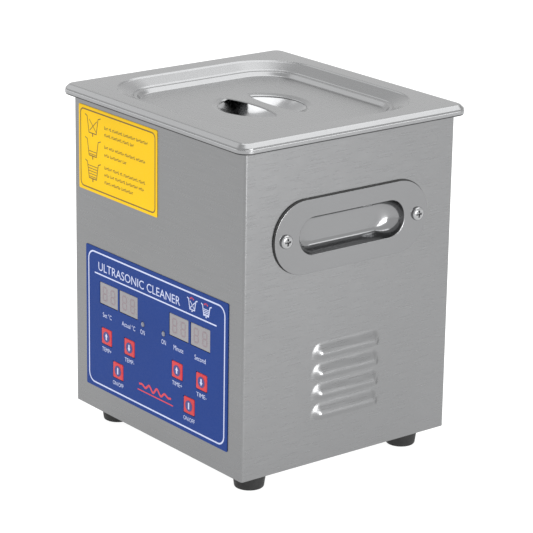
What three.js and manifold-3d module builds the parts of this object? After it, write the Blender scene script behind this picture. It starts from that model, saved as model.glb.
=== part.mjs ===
// A bench-top ultrasonic cleaner with a two-litre heated bath, lift-off lid and digital front panel.
// Millimetres, +Z up. The front faces -Y and the origin is on the ground, under the middle of the rim.
import * as THREE from "three";
import { mergeVertices } from "three/addons/utils/BufferGeometryUtils.js";
import Module from "manifold-3d";

// Overall sizes
const RIM_W = 178;
const RIM_D = 164;
const TOP_Z = 209.8;
const FOOT_H = 11.7;
const CASE_W = 166;
const CASE_D = 152;
const CASE_H = 192.7;
const CASE_TOP = FOOT_H + CASE_H;
const BEND = 1.5; // outer radius of the casing's upright folds
const SHEET = 1; // casing sheet
const THIN = 0.8; // drawn sheet of the tank and the handle cups
const GAP = 0.3; // running gap between neighbours
const GLUE = 0.05; // gap where one piece is stuck or clamped flat on another

// Tank and lid
const RIM_TOP = 206.7;
const TANK_DEPTH = 100;
const MOUTH_HX = 75; // half width of the tank's mouth
const TAPER = 0.065; // how far each tank wall leans in per millimetre of depth
const LEAN = 7; // the tank and the rim are this much shorter, per side, front to back
const DRAW_R = 26; // corner radius of the drawn tank
const RIM_R = 7.5; // corner radius of the rim
const RIM_EDGE = 2; // height of the rim's turned edge
const TRAY_MOUTH = [74, 68.4, 35]; // half sizes and corner radius of the lid's tray at its mouth
const TRAY_DEPTH = 6.8;
// The tray's section: how far in from its mouth and how deep. A long easy wall, a ledge and a bevel.
const TRAY = [
  [0, 0],
  [0.8, 0.8],
  [9.4, 3.8],
  [9.9, 4.4],
  [11.7, 4.5],
  [13.9, TRAY_DEPTH],
];
const BOWL_R = 29.8; // finger bowl in the lid
const BOWL_DEPTH = 9.5;
const BOWL_CURVE = 2.2; // 2 is a plain dish, and more is flatter in the middle
const STRAP_WAIST = 3.8; // half width of the lid's strap at its middle
const STRAP_END = 8; // and at its two ends
const LID_SHEET = 0.7;
const LID_EDGE = 2.9; // height of the lid's turned edge

// Handles, louvres and feet
const HANDLE_Y = 0.3;
const HANDLE_Z = FOOT_H + 137.4;
const POCKET_HX = 38.4; // half sizes of the handle pocket's mouth
const POCKET_HY = 11;
const CUP_HX = 56; // half sizes of the handle's flange
const CUP_HY = 21.5;
const CUP_OUT = 1.2; // how far the flange stands out of the casing
const CUP_DEPTH = 8.5;
const SCREW_SPREAD = 48.1;
const LOUVRE_Y = 0.7;
const LOUVRE_W = 46.5;
const LOUVRE_H = 10;
const LOUVRE_OUT = 2.8;
const LOUVRE_PITCH = 12.2;
const LOUVRE_LOW = FOOT_H + 26.4; // open lower edge of the lowest louvre
const FOOT_X = 66;
const FOOT_Y = 57.3;

// Front panel: x and z on the front of the casing, and how far out of it
const PANEL_X = -0.6;
const PANEL_Z = FOOT_H + 58.5;
const PANEL_W = 140.7;
const PANEL_H = 88.4;
const PANEL_T = 0.9;
const DISPLAY_Z = FOOT_H + 75.7;
const DISPLAY_W = 18.3;
const DISPLAY_H = 13.3;
const LAMP_Z = FOOT_H + 67.8;
const LAMP_R = 1.5;
const KEY_W = 10.3;
const KEY_H = 10;
const KEY_ROW_HIGH = FOOT_H + 49.3;
const KEY_ROW_LOW = FOOT_H + 31.2;
const KEY_SPREAD = 11.8; // half the distance between two keys of the upper row
const HEATER_KEYS_X = -37.7;
const TIMER_KEYS_X = 33.7;
const CAUTION_X = -38.1; // yellow plate above the panel
const CAUTION_Z = FOOT_H + 161.6;
const BOARD_W = 10.7; // front of the control board behind the front of the casing

// Power inlet on the back, and the electronics on the bottom plate
const INLET_X = -38;
const INLET_Z = 50;
const POWER_BOARD_Z = 20;
const TRANSDUCER_TOP = RIM_TOP - TANK_DEPTH - THIN - GAP;

const colours = {
  steel: { color: 0xa9abad, roughness: 0.38, metalness: 1 },
  drawn: { color: 0xb9bbbd, roughness: 0.22, metalness: 1 },
  zinc: { color: 0x9fa3a6, roughness: 0.3, metalness: 1 },
  rubber: { color: 0x141414, roughness: 0.85, metalness: 0 },
  silicone: { color: 0x3a3b3c, roughness: 0.7, metalness: 0 },
  blue: { color: 0x2c4d94, roughness: 0.42, metalness: 0 },
  yellow: { color: 0xf4ca12, roughness: 0.5, metalness: 0 },
  red: { color: 0xd8252a, roughness: 0.4, metalness: 0 },
  display: { color: 0x8d9299, roughness: 0.25, metalness: 0 },
  lamp: { color: 0x767b86, roughness: 0.2, metalness: 0 },
  black: { color: 0x1b1b1d, roughness: 0.45, metalness: 0 },
  grey: { color: 0x54575a, roughness: 0.55, metalness: 0 },
  board: { color: 0x1f6a3a, roughness: 0.45, metalness: 0 },
  ferrite: { color: 0x2a2a2c, roughness: 0.6, metalness: 0 },
  aluminium: { color: 0xc3c6c9, roughness: 0.35, metalness: 1 },
  ceramic: { color: 0xd8d2c2, roughness: 0.5, metalness: 0 },
  brass: { color: 0xc9a24b, roughness: 0.3, metalness: 1 },
};

const wasm = await Module();
wasm.setup();

// ---- Solids: joins and cuts ----

function solidOf(geometry) {
  const bare = geometry.index ? geometry.toNonIndexed() : geometry.clone();
  bare.deleteAttribute("normal");
  bare.deleteAttribute("uv");
  const merged = mergeVertices(bare, 1e-4);
  return new wasm.Manifold(
    new wasm.Mesh({
      numProp: 3,
      vertProperties: merged.attributes.position.array,
      triVerts: new Uint32Array(merged.index.array),
    }),
  );
}

function geometryOf(solid) {
  const mesh = solid.getMesh();
  const geometry = new THREE.BufferGeometry();
  geometry.setAttribute("position", new THREE.BufferAttribute(mesh.vertProperties, 3));
  geometry.setIndex(new THREE.BufferAttribute(mesh.triVerts, 1));
  return geometry;
}

function join(...geometries) {
  return geometryOf(geometries.map(solidOf).reduce((whole, next) => whole.add(next)));
}

function cut(geometry, ...tools) {
  return geometryOf(tools.map(solidOf).reduce((left, tool) => left.subtract(tool), solidOf(geometry)));
}

function overlap(geometry, other) {
  return geometryOf(solidOf(geometry).intersect(solidOf(other)));
}

// Turns every face round if the geometry encloses a negative volume.
function outward(geometry) {
  const flat = geometry.index ? geometry.toNonIndexed() : geometry;
  const at = flat.attributes.position;
  const [a, b, c] = [new THREE.Vector3(), new THREE.Vector3(), new THREE.Vector3()];
  let volume = 0;
  for (let i = 0; i < at.count; i += 3) {
    a.fromBufferAttribute(at, i);
    b.fromBufferAttribute(at, i + 1);
    c.fromBufferAttribute(at, i + 2);
    volume += a.dot(b.cross(c));
  }
  if (volume > 0) return flat;
  for (let i = 0; i < at.count; i += 3) {
    a.fromBufferAttribute(at, i + 1);
    b.fromBufferAttribute(at, i + 2);
    at.setXYZ(i + 1, b.x, b.y, b.z);
    at.setXYZ(i + 2, a.x, a.y, a.z);
  }
  return flat;
}

// ---- Outlines and basic forms ----

function box(w, d, h, x = 0, y = 0, z = 0) {
  return new THREE.BoxGeometry(w, d, h).translate(x, y, z);
}

// Rounded rectangle from its half sizes; a radius equal to the smaller half size makes a slot.
function roundedOutline(hx, hy, r, kind = THREE.Shape) {
  const outline = new kind();
  outline.absarc(hx - r, hy - r, r, 0, Math.PI / 2);
  outline.absarc(-hx + r, hy - r, r, Math.PI / 2, Math.PI);
  outline.absarc(-hx + r, -hy + r, r, Math.PI, 1.5 * Math.PI);
  outline.absarc(hx - r, -hy + r, r, 1.5 * Math.PI, 2 * Math.PI);
  return outline;
}

function extruded(outline, low, high, curveSegments = 4) {
  const options = { depth: high - low, bevelEnabled: false, curveSegments };
  return new THREE.ExtrudeGeometry(outline, options).translate(0, 0, low);
}

function roundedPlate(hx, hy, r, low, high, curveSegments = 4) {
  return extruded(roundedOutline(hx, hy, r), low, high, curveSegments);
}

function frameRing(outer, inner, low, high, curveSegments = 4) {
  const outline = roundedOutline(...outer);
  outline.holes.push(roundedOutline(...inner, THREE.Path));
  return extruded(outline, low, high, curveSegments);
}

function rod(r, low, high, x = 0, y = 0, segments = 12) {
  const cylinder = new THREE.CylinderGeometry(r, r, high - low, segments).rotateX(Math.PI / 2);
  return cylinder.translate(x, y, (low + high) / 2);
}

// A turned solid about +Z from [radius, height] points that close on the axis or on themselves.
function turned(points, segments = 16) {
  const profile = points.map(([r, z]) => new THREE.Vector2(r, z));
  return outward(new THREE.LatheGeometry(profile, segments).rotateX(Math.PI / 2));
}

// A skin through a stack of rounded rectangles [hx, hy, r, z]. It is closed flat at its first and last
// ring, or, as a tube-like band, by a last strip back to the first ring.
function lofted(rings, cornerSteps = 5, band = false) {
  const loops = rings.map(([hx, hy, r, z]) => {
    const loop = [];
    for (let corner = 0; corner < 4; corner++) {
      const cx = (corner === 0 || corner === 3 ? 1 : -1) * (hx - r);
      const cy = (corner < 2 ? 1 : -1) * (hy - r);
      for (let step = 0; step <= cornerSteps; step++) {
        const angle = (corner + step / cornerSteps) * (Math.PI / 2);
        loop.push([cx + r * Math.cos(angle), cy + r * Math.sin(angle), z]);
      }
    }
    return loop;
  });
  const count = loops[0].length;
  const [first, last] = [loops[0], loops[loops.length - 1]];
  const corners = [];
  for (let level = band ? 0 : 1; level < loops.length; level++) {
    const [a, b] = [level ? loops[level - 1] : last, loops[level]];
    for (let i = 0; i < count; i++) {
      const next = (i + 1) % count;
      corners.push(a[i], a[next], b[next], a[i], b[next], b[i]);
    }
  }
  for (let i = 1; i < count - 1 && !band; i++) {
    corners.push(first[0], first[i + 1], first[i], last[0], last[i], last[i + 1]);
  }
  const geometry = new THREE.BufferGeometry();
  geometry.setAttribute("position", new THREE.Float32BufferAttribute(corners.flat(), 3));
  return outward(geometry);
}

// ---- Frames of the four upright faces: u to the right, v up, w out, seen from outside ----

function faceFrame(turn, distance) {
  const frame = new THREE.Group();
  frame.rotation.set(Math.PI / 2, 0, turn, "ZYX");
  frame.position.set(Math.sin(turn) * distance, -Math.cos(turn) * distance, 0);
  frame.updateMatrix();
  return frame;
}

const front = faceFrame(0, CASE_D / 2);
const right = faceFrame(Math.PI / 2, CASE_W / 2);
const back = faceFrame(Math.PI, CASE_D / 2);
const left = faceFrame(-Math.PI / 2, CASE_W / 2);

function placedOn(frame, geometry, u, v, w = 0) {
  return geometry.clone().translate(u, v, w).applyMatrix4(frame.matrix);
}

// What sits on the two side faces, each given once: [frame, name, direction of u against +Y]
const sides = [
  [right, "right", 1],
  [left, "left", -1],
];

// ---- Places on the front panel ----

const displays = [
  ["display_set_temperature", -47.3],
  ["display_actual_temperature", -27],
  ["display_minutes", 23.2],
  ["display_seconds", 43.9],
];

const lamps = [
  ["heater_lamp", -12.2],
  ["timer_lamp", 8.4],
];

const keys = [
  ["temperature_up", HEATER_KEYS_X - KEY_SPREAD, KEY_ROW_HIGH],
  ["temperature_down", HEATER_KEYS_X + KEY_SPREAD, KEY_ROW_HIGH],
  ["heater_power", HEATER_KEYS_X, KEY_ROW_LOW],
  ["time_up", TIMER_KEYS_X - KEY_SPREAD, KEY_ROW_HIGH],
  ["time_down", TIMER_KEYS_X + KEY_SPREAD, KEY_ROW_HIGH],
  ["timer_power", TIMER_KEYS_X, KEY_ROW_LOW],
];

// The windows that the panel and the casing share, as solids that run from w = low to w = high.
function panelWindows(low, high) {
  const windows = [];
  const displayWindow = box(DISPLAY_W + 2 * GAP, DISPLAY_H + 2 * GAP, high - low);
  const keyWindow = box(KEY_W + 2 * GAP, KEY_H + 2 * GAP, high - low);
  const middle = (low + high) / 2;
  for (const [, u] of displays) windows.push(displayWindow.clone().translate(u, DISPLAY_Z, middle));
  for (const [, u, v] of keys) windows.push(keyWindow.clone().translate(u, v, middle));
  for (const [, u] of lamps) windows.push(rod(LAMP_R + GAP, low, high, u, LAMP_Z, 12));
  return windows;
}

// ---- Casing ----

// Half of a flattened capsule along u, above v = low and outside w = inner.
function halfCapsule(r, out, low, inner) {
  const straight = LOUVRE_W - 2 * LOUVRE_H;
  const capsule = new THREE.CapsuleGeometry(r, straight, 2, 8).rotateZ(Math.PI / 2).scale(1, 1, out / r);
  const depth = out + 1 - inner;
  const middle = [0, LOUVRE_H / 2 + 1 + low, inner + depth / 2];
  return overlap(capsule, box(LOUVRE_W + 2, LOUVRE_H + 2, depth, ...middle));
}

// A pressed louvre is a hood with round ends, open along its lower edge: the hood less the air in it.
const louvreHood = halfCapsule(LOUVRE_H, LOUVRE_OUT, 0, -SHEET / 2);
const louvreAir = halfCapsule(LOUVRE_H - THIN, LOUVRE_OUT - THIN, -0.2, -3 * SHEET);

function casing() {
  const [hx, hy] = [CASE_W / 2, CASE_D / 2];
  const [ix, iy] = [hx - SHEET, hy - SHEET];
  const outer = (z) => [hx, hy, BEND, z];
  const inner = (z) => [ix, iy, BEND - SHEET, z];
  const topFlange = (z) => [MOUTH_HX + 2.2, MOUTH_HX + 2.2 - LEAN, DRAW_R + 1, z];
  const bottomLip = (z) => [ix - 10, iy - 10, 2, z];
  const lipZ = FOOT_H + 1.3;
  const wrap = lofted(
    [
      outer(FOOT_H),
      outer(CASE_TOP),
      topFlange(CASE_TOP),
      topFlange(CASE_TOP - SHEET),
      inner(CASE_TOP - SHEET),
      inner(lipZ + SHEET),
      bottomLip(lipZ + SHEET),
      bottomLip(lipZ),
      inner(lipZ),
      inner(FOOT_H),
    ],
    4,
    true,
  );

  const hoods = [];
  const tools = panelWindows(-SHEET - 1, 1).map((tool) => placedOn(front, tool, 0, 0));
  const [cupHoleX, cupHoleY] = [POCKET_HX + 1.1, POCKET_HY + 1.2];
  const cupHole = roundedPlate(cupHoleX, cupHoleY, cupHoleY, -SHEET - 1, 1);
  const screwHole = rod(2.2, -SHEET - 1, 1, 0, 0, 10);
  for (const [frame, , towards] of sides) {
    tools.push(placedOn(frame, cupHole, towards * HANDLE_Y, HANDLE_Z));
    for (const end of [-1, 1]) {
      tools.push(placedOn(frame, screwHole, towards * HANDLE_Y + end * SCREW_SPREAD, HANDLE_Z));
    }
    for (let row = 0; row < 4; row++) {
      const v = LOUVRE_LOW + row * LOUVRE_PITCH;
      hoods.push(placedOn(frame, louvreHood, towards * LOUVRE_Y, v));
      tools.push(placedOn(frame, louvreAir, towards * LOUVRE_Y, v));
    }
  }
  tools.push(placedOn(back, box(29, 31, 2 * SHEET + 2), -INLET_X, INLET_Z, -SHEET / 2));
  for (const end of [-1, 1]) {
    tools.push(placedOn(back, rod(1.9, -SHEET - 1, 1, 0, 0, 10), -INLET_X + 20 * end, INLET_Z));
  }
  return cut(join(wrap, ...hoods), ...tools);
}

// Bottom plate inside the lower edge of the casing, with four bosses for the power board.
function bottomPlate() {
  const low = FOOT_H + 0.2;
  const plate = roundedPlate(CASE_W / 2 - SHEET - GAP, CASE_D / 2 - SHEET - GAP, 1, low, low + SHEET, 2);
  const bosses = [];
  const holes = [];
  for (const x of [-1, 1]) {
    for (const y of [-1, 1]) {
      bosses.push(rod(3.5, low + 0.5, POWER_BOARD_Z - GAP, 56 * x, 36 * y, 8));
      holes.push(rod(2.3, low - 1, low + SHEET + 1, FOOT_X * x, FOOT_Y * y, 8));
    }
  }
  return cut(join(plate, ...bosses), ...holes);
}

// ---- Feet and screws ----

function foot() {
  return turned([
    [2.3, FOOT_H - 0.1],
    [9.8, FOOT_H - 0.1],
    [9.6, 7],
    [8.8, 1],
    [8, 0],
    [4.4, 0],
    [4.4, 5],
    [2.3, 5],
    [2.3, FOOT_H - 0.1],
  ]);
}

// Pan-head screw with a cross recess: the head starts at z = 0 and the shank runs down from there.
function panHeadScrew(headR, headH, shankR, length) {
  const head = turned(
    [
      [0, headH],
      [headR * 0.7, headH * 0.85],
      [headR, headH * 0.3],
      [headR, 0],
      [shankR, 0],
      [shankR, -length],
      [0, -length],
    ],
    12,
  );
  const arm = headR * 1.05;
  const width = headR * 0.26;
  const middle = headH * 0.8;
  return cut(head, box(arm, width, headH, 0, 0, middle), box(width, arm, headH, 0, 0, middle));
}

// ---- Tank, seal and lid ----

function rimRing(hx, r, z) {
  return [hx, hx - LEAN, r, RIM_TOP + z];
}

// Deep-drawn tank: up the inside from the floor, over the rim and its turned edge, down the outside.
function tank() {
  const edge = RIM_W / 2;
  const floorR = 8; // fillet between the walls and the floor
  const mouthR = 4; // fillet between the walls and the rim
  const foldR = 1.2;
  const wallFoot = MOUTH_HX - TAPER * (TANK_DEPTH - floorR);
  const cornerFoot = DRAW_R - TAPER * (TANK_DEPTH - floorR);
  const rings = [];
  const steps = 2;
  for (let i = 0; i <= steps; i++) {
    const turn = (Math.PI / 2) * (i / steps);
    const inward = floorR * (1 - Math.sin(turn));
    rings.push(rimRing(wallFoot - inward, cornerFoot - inward, -TANK_DEPTH + floorR * (1 - Math.cos(turn))));
  }
  for (let i = 0; i <= steps; i++) {
    const turn = (Math.PI / 2) * (i / steps);
    const outwardBy = mouthR * (1 - Math.cos(turn));
    rings.push(rimRing(MOUTH_HX + outwardBy, DRAW_R + outwardBy, -mouthR * (1 - Math.sin(turn))));
  }
  rings.push(rimRing(edge - foldR, RIM_R - foldR, 0));
  rings.push(rimRing(edge - foldR * 0.3, RIM_R - foldR * 0.3, -foldR * 0.3));
  rings.push(rimRing(edge, RIM_R, -foldR));
  rings.push(rimRing(edge, RIM_R, -RIM_EDGE));
  rings.push(rimRing(edge - THIN, RIM_R - THIN, -RIM_EDGE));
  rings.push(rimRing(edge - THIN, RIM_R - THIN, -foldR));
  rings.push(rimRing(edge - foldR, RIM_R - foldR, -THIN));
  for (let i = steps; i >= 0; i--) {
    const turn = (Math.PI / 2) * (i / steps);
    const outerR = mouthR - THIN;
    const outwardBy = THIN + outerR * (1 - Math.cos(turn));
    rings.push(rimRing(MOUTH_HX + outwardBy, DRAW_R + outwardBy, -mouthR + outerR * Math.sin(turn)));
  }
  for (let i = steps; i >= 0; i--) {
    const turn = (Math.PI / 2) * (i / steps);
    const outerR = floorR + THIN;
    const inward = outerR * (1 - Math.sin(turn)) - THIN;
    const z = -TANK_DEPTH - THIN + outerR * (1 - Math.cos(turn));
    rings.push(rimRing(wallFoot - inward, cornerFoot - inward, z));
  }
  return lofted(rings);
}

function rimSeal() {
  const outer = [CASE_W / 2 - 0.4, CASE_D / 2 - 0.4, 2];
  const inner = [MOUTH_HX + 4.4, MOUTH_HX + 4.4 - LEAN, 20];
  return frameRing(outer, inner, CASE_TOP + GLUE, RIM_TOP - THIN - GLUE);
}

// One of the two finger gaps beside the strap: an arc of the bowl's edge and the strap's curved edge.
function fingerGap(side) {
  const r = BOWL_R - 0.6;
  const meet = Math.asin(STRAP_END / r);
  const outline = new THREE.Shape();
  const [x, y] = [r * Math.cos(meet), side * STRAP_END];
  if (side > 0) {
    outline.absarc(0, 0, r, meet, Math.PI - meet);
    outline.quadraticCurveTo(0, side * (2 * STRAP_WAIST - STRAP_END), x, y);
  } else {
    outline.absarc(0, 0, r, Math.PI + meet, 2 * Math.PI - meet);
    outline.quadraticCurveTo(0, side * (2 * STRAP_WAIST - STRAP_END), -x, y);
  }
  return extruded(outline, TOP_Z - TRAY_DEPTH - 2, TOP_Z - TRAY_DEPTH + 2, 12);
}

// Pressed lid: from the tray's floor up its stepped wall, over the rim to its turned edge, back below.
function lid() {
  const inset = ([x, y, r], by, z) => [x - by, y - by, r - by, TOP_Z + z];
  const edge = (by, z) => inset([RIM_W / 2 - 0.3, RIM_D / 2 - 0.3, RIM_R - 0.3], by, z);
  const upperTray = TRAY.map(([by, depth]) => inset(TRAY_MOUTH, by, -depth));
  const lowerTray = TRAY.map(([by, depth]) => inset(TRAY_MOUTH, by, -depth - LID_SHEET));
  const skin = lofted([
    ...upperTray.reverse(),
    edge(2.4, 0),
    edge(1, -0.6),
    edge(0, -2.2),
    edge(0, -LID_EDGE),
    edge(LID_SHEET, -LID_EDGE),
    edge(LID_SHEET, -2.2),
    edge(2.4, -LID_SHEET),
    ...lowerTray,
  ]);
  return cut(skin, fingerGap(1), fingerGap(-1));
}

// Round bowl welded under the tray, so that fingers reach under the strap.
function lidBowl() {
  const seat = TOP_Z - TRAY_DEPTH - LID_SHEET - GLUE;
  const drop = BOWL_DEPTH - LID_SHEET - GLUE;
  const steps = 5;
  const inside = [];
  const outside = [];
  for (let i = 0; i <= steps; i++) {
    const share = i / steps;
    const depth = drop * (1 - share ** BOWL_CURVE);
    inside.push([BOWL_R * share, seat - depth]);
    outside.unshift([(BOWL_R + LID_SHEET) * share, seat - LID_SHEET - depth]);
  }
  return turned([...inside, [BOWL_R + 3.5, seat], [BOWL_R + 3.5, seat - LID_SHEET], ...outside], 24);
}

// ---- Side handles ----

// Drawn cup with a flat flange, in the frame of a side face: from the pocket's floor out to the edge
// and back behind. The pocket's ends lean more than its long sides.
function handleCup() {
  const slot = (hx, hy, w) => [hx, hy, hy, w];
  const pocket = (bx, by, w) => slot(POCKET_HX - bx, POCKET_HY - by, w);
  const flange = (by, w) => slot(CUP_HX - by, CUP_HY - by, w);
  const rings = [
    pocket(7.6, 3.2, -CUP_DEPTH),
    pocket(5.9, 1.6, -CUP_DEPTH + 1.4),
    pocket(0.6, 0.4, CUP_OUT - 0.8),
    pocket(0, 0, CUP_OUT),
    flange(0.4, CUP_OUT),
    flange(0, CUP_OUT - 0.4),
    flange(0, GLUE),
    pocket(-1, -1, GLUE),
    pocket(0.1, 0.1, -SHEET),
    pocket(5.2, 0.8, -CUP_DEPTH + 0.8),
    pocket(7.2, 3, -CUP_DEPTH - THIN),
  ];
  const holes = [-1, 1].map((end) => rod(2.2, -1, 3, end * SCREW_SPREAD, 0, 10));
  return cut(lofted(rings, 4), ...holes);
}

// ---- Control panel ----

function controlPanel() {
  const plate = box(PANEL_W, PANEL_H, PANEL_T, PANEL_X, PANEL_Z, GLUE + PANEL_T / 2);
  return cut(plate, ...panelWindows(-1, 3));
}

function cautionPlate() {
  return roundedPlate(39.7, 25.7, 0.5, GLUE, 0.35, 1);
}

// Key cap with the collar that keeps it behind the casing, and the stem that reaches its switch.
function key() {
  const cap = roundedPlate(KEY_W / 2, KEY_H / 2, 0.5, -SHEET - GAP - 0.1, GLUE + PANEL_T + 0.25, 2);
  const collar = box(KEY_W + 2.7, KEY_H + 2.7, 0.8, 0, 0, -SHEET - GAP - 0.4);
  return join(cap, collar, rod(1.8, -5.6, -1.8, 0, 0, 12));
}

function tactSwitch() {
  const body = box(6, 6, 3.4, 0, 0, -BOARD_W + GLUE + 1.7);
  return join(body, rod(1.75, -8, -6.2, 0, 0, 12));
}

function displayModule() {
  const low = -BOARD_W + GLUE;
  const high = PANEL_T - GAP;
  return box(DISPLAY_W, DISPLAY_H, high - low, 0, 0, (low + high) / 2);
}

function lampDiode() {
  const low = -BOARD_W + GLUE;
  const dome = 1.2;
  return turned(
    [
      [0, low],
      [1.9, low],
      [1.9, low + 1],
      [LAMP_R, low + 1],
      [LAMP_R, dome - 1],
      [LAMP_R * 0.8, dome - 0.4],
      [0, dome],
    ],
    12,
  );
}

// ---- Ultrasonic transducer, hung under the tank from the top down ----

const HORN_H = 24;
const RING_H = 5.5;
const BACK_H = 20;
const BOLT_R = 4.8;
const BORE_R = 5.1;
const STACK_GAP = 0.1;
const hornLow = TRANSDUCER_TOP - HORN_H;
const upperRingLow = hornLow - STACK_GAP - RING_H;
const lowerRingLow = upperRingLow - STACK_GAP - RING_H;
const backLow = lowerRingLow - STACK_GAP - BACK_H;

function transducerHorn() {
  return turned([
    [0, TRANSDUCER_TOP],
    [22, TRANSDUCER_TOP],
    [22, TRANSDUCER_TOP - 4],
    [18.5, hornLow + 3],
    [18.5, hornLow],
    [BORE_R, hornLow],
    [BORE_R, hornLow + 14],
    [0, hornLow + 14],
  ]);
}

function stackRing(outerR, low, high) {
  return turned([
    [BORE_R, low],
    [outerR, low],
    [outerR, high],
    [BORE_R, high],
    [BORE_R, low],
  ]);
}

function transducerBolt() {
  const headTop = backLow - STACK_GAP;
  const head = new THREE.CylinderGeometry(8, 8, 7, 6).rotateX(Math.PI / 2).translate(0, 0, headTop - 3.5);
  return join(head, rod(BOLT_R, headTop - 1, hornLow + 13.5));
}

// ---- Power electronics ----

function driveTransformer() {
  const seat = POWER_BOARD_Z + 1.6 + GLUE;
  const windows = [-9, 9].map((x) => box(9, 20, 21, x, 0, seat + 16));
  const core = cut(box(36, 18, 32, 0, 0, seat + 16), ...windows);
  const winding = box(27, 27, 20, 0, 0, seat + 16);
  return join(core, winding, box(30, 24, 3, 0, 0, seat + 1.5));
}

function heatSink() {
  const seat = POWER_BOARD_Z + 1.6 + GLUE;
  const pieces = [box(34, 4, 30, 0, 0, seat + 15)];
  for (let fin = 0; fin < 6; fin++) {
    pieces.push(box(1.6, 16, 30, -16.2 + fin * 6.48, 9.5, seat + 15));
  }
  return join(...pieces);
}

function filterCapacitor() {
  const seat = POWER_BOARD_Z + 1.6 + GLUE;
  return roundedPlate(13, 6, 1, seat, seat + 20, 2);
}

// Flat heating mat behind the tank, parallel to its leaning rear wall.
function heaterPad() {
  const z = 160;
  const wallY = MOUTH_HX - LEAN + THIN - TAPER * (RIM_TOP - z);
  const pad = roundedPlate(45, 22, 4, -0.8, 0.8, 3).rotateX(Math.PI / 2 - Math.atan(TAPER));
  return pad.translate(0, wallY + GAP + 0.9, z);
}

function temperatureSensor() {
  const top = TRANSDUCER_TOP;
  return turned([
    [0, top],
    [6, top],
    [6, top - 2],
    [3, top - 2.6],
    [3, top - 9],
    [0, top - 9],
  ]);
}

// ---- Power inlet ----

const SOCKET_V = -4.5; // middle of the socket below the middle of the inlet
const DRAWER_V = 9.75;
const FACE_W = 2.25; // outer face of the inlet's flange
const pins = [
  ["inlet_pin_live", -7, SOCKET_V - 2],
  ["inlet_pin_neutral", 7, SOCKET_V - 2],
  ["inlet_pin_earth", 0, SOCKET_V + 2],
];

function powerInlet() {
  const socket = new THREE.Shape();
  const [hx, hy, bevel] = [12.3, 8.5, 4.5];
  socket.moveTo(-hx, SOCKET_V - hy);
  socket.lineTo(hx, SOCKET_V - hy);
  socket.lineTo(hx, SOCKET_V + hy - bevel);
  socket.lineTo(hx - bevel, SOCKET_V + hy);
  socket.lineTo(-hx + bevel, SOCKET_V + hy);
  socket.lineTo(-hx, SOCKET_V + hy - bevel);
  const flange = roundedPlate(25, 17.5, 4, GLUE, FACE_W, 3);
  const body = join(flange, box(28, 30, 22, 0, 0, -10.5));
  return cut(
    body,
    extruded(socket, -15, 4),
    box(22.8, 6.3, 18, 0, DRAWER_V, -3),
    rod(1.9, -1, 4, -20, 0, 10),
    rod(1.9, -1, 4, 20, 0, 10),
    ...pins.map(([, u, v]) => box(2.4, 4.4, 12, u, v, -18)),
  );
}

function inletPin() {
  const blade = new THREE.Shape();
  blade.moveTo(-2, -29);
  blade.lineTo(2, -29);
  blade.lineTo(2, -3.4);
  blade.lineTo(1.2, -2.4);
  blade.lineTo(-1.2, -2.4);
  blade.lineTo(-2, -3.4);
  return extruded(blade, -1, 1).rotateX(Math.PI / 2).rotateZ(Math.PI / 2);
}

function fuseDrawer() {
  const face = roundedPlate(11.8, 3.7, 0.6, FACE_W + 0.1, FACE_W + 1.6, 2).translate(0, DRAWER_V, 0);
  const tray = box(22, 5.5, 13, 0, DRAWER_V, FACE_W - 6);
  const fuseBed = box(18, 7, 6, 0, DRAWER_V + 2.5, FACE_W - 8);
  const pryNotch = box(5, 1.6, 1, 0, DRAWER_V - 3.6, FACE_W + 1.4);
  return cut(join(face, tray), fuseBed, pryNotch);
}

// ---- Assembly ----

const cleaner = new THREE.Group();
cleaner.add(front, right, back, left);

function add(parent, name, geometry, finish, u = 0, v = 0, w = 0) {
  const mesh = new THREE.Mesh(geometry, new THREE.MeshStandardMaterial(colours[finish]));
  mesh.name = name;
  mesh.position.set(u, v, w);
  parent.add(mesh);
}

add(cleaner, "casing", casing(), "steel");
add(cleaner, "bottom_plate", bottomPlate(), "zinc");
for (const [end, y] of [["front", -FOOT_Y], ["rear", FOOT_Y]]) {
  for (const [side, x] of [["left", -FOOT_X], ["right", FOOT_X]]) {
    add(cleaner, `foot_${end}_${side}`, foot(), "rubber", x, y);
    const screw = panHeadScrew(3.8, 2.2, 1.95, 15).rotateX(Math.PI);
    add(cleaner, `foot_screw_${end}_${side}`, screw, "zinc", x, y, 5 - GLUE);
  }
}

add(cleaner, "tank", tank(), "drawn");
add(cleaner, "rim_seal", rimSeal(), "silicone");
add(cleaner, "lid", lid(), "steel");
add(cleaner, "lid_bowl", lidBowl(), "drawn");

for (const [frame, side, towards] of sides) {
  add(frame, `handle_cup_${side}`, handleCup(), "drawn", towards * HANDLE_Y, HANDLE_Z);
  for (const [end, y] of [["front", HANDLE_Y - SCREW_SPREAD], ["rear", HANDLE_Y + SCREW_SPREAD]]) {
    const screw = panHeadScrew(4, 2, 1.9, 8);
    add(frame, `handle_screw_${side}_${end}`, screw, "zinc", towards * y, HANDLE_Z, CUP_OUT + GLUE);
  }
}

add(front, "control_panel", controlPanel(), "blue");
add(front, "caution_plate", cautionPlate(), "yellow", CAUTION_X, CAUTION_Z);
for (const [name, u] of displays) add(front, name, displayModule(), "display", u, DISPLAY_Z);
for (const [name, u] of lamps) add(front, name, lampDiode(), "lamp", u, LAMP_Z);
for (const [name, u, v] of keys) {
  add(front, `key_${name}`, key(), "red", u, v);
  add(front, `switch_${name}`, tactSwitch(), "black", u, v);
}
add(front, "control_board", box(130, 70, 1.6, -1, 65, -BOARD_W - 0.8), "board");
const boardFrame = frameRing([67, 37, 3], [64.5, 34.5, 1], -BOARD_W + GAP, -SHEET - GAP, 2);
add(front, "board_frame", boardFrame, "grey", -1, 65);

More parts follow.
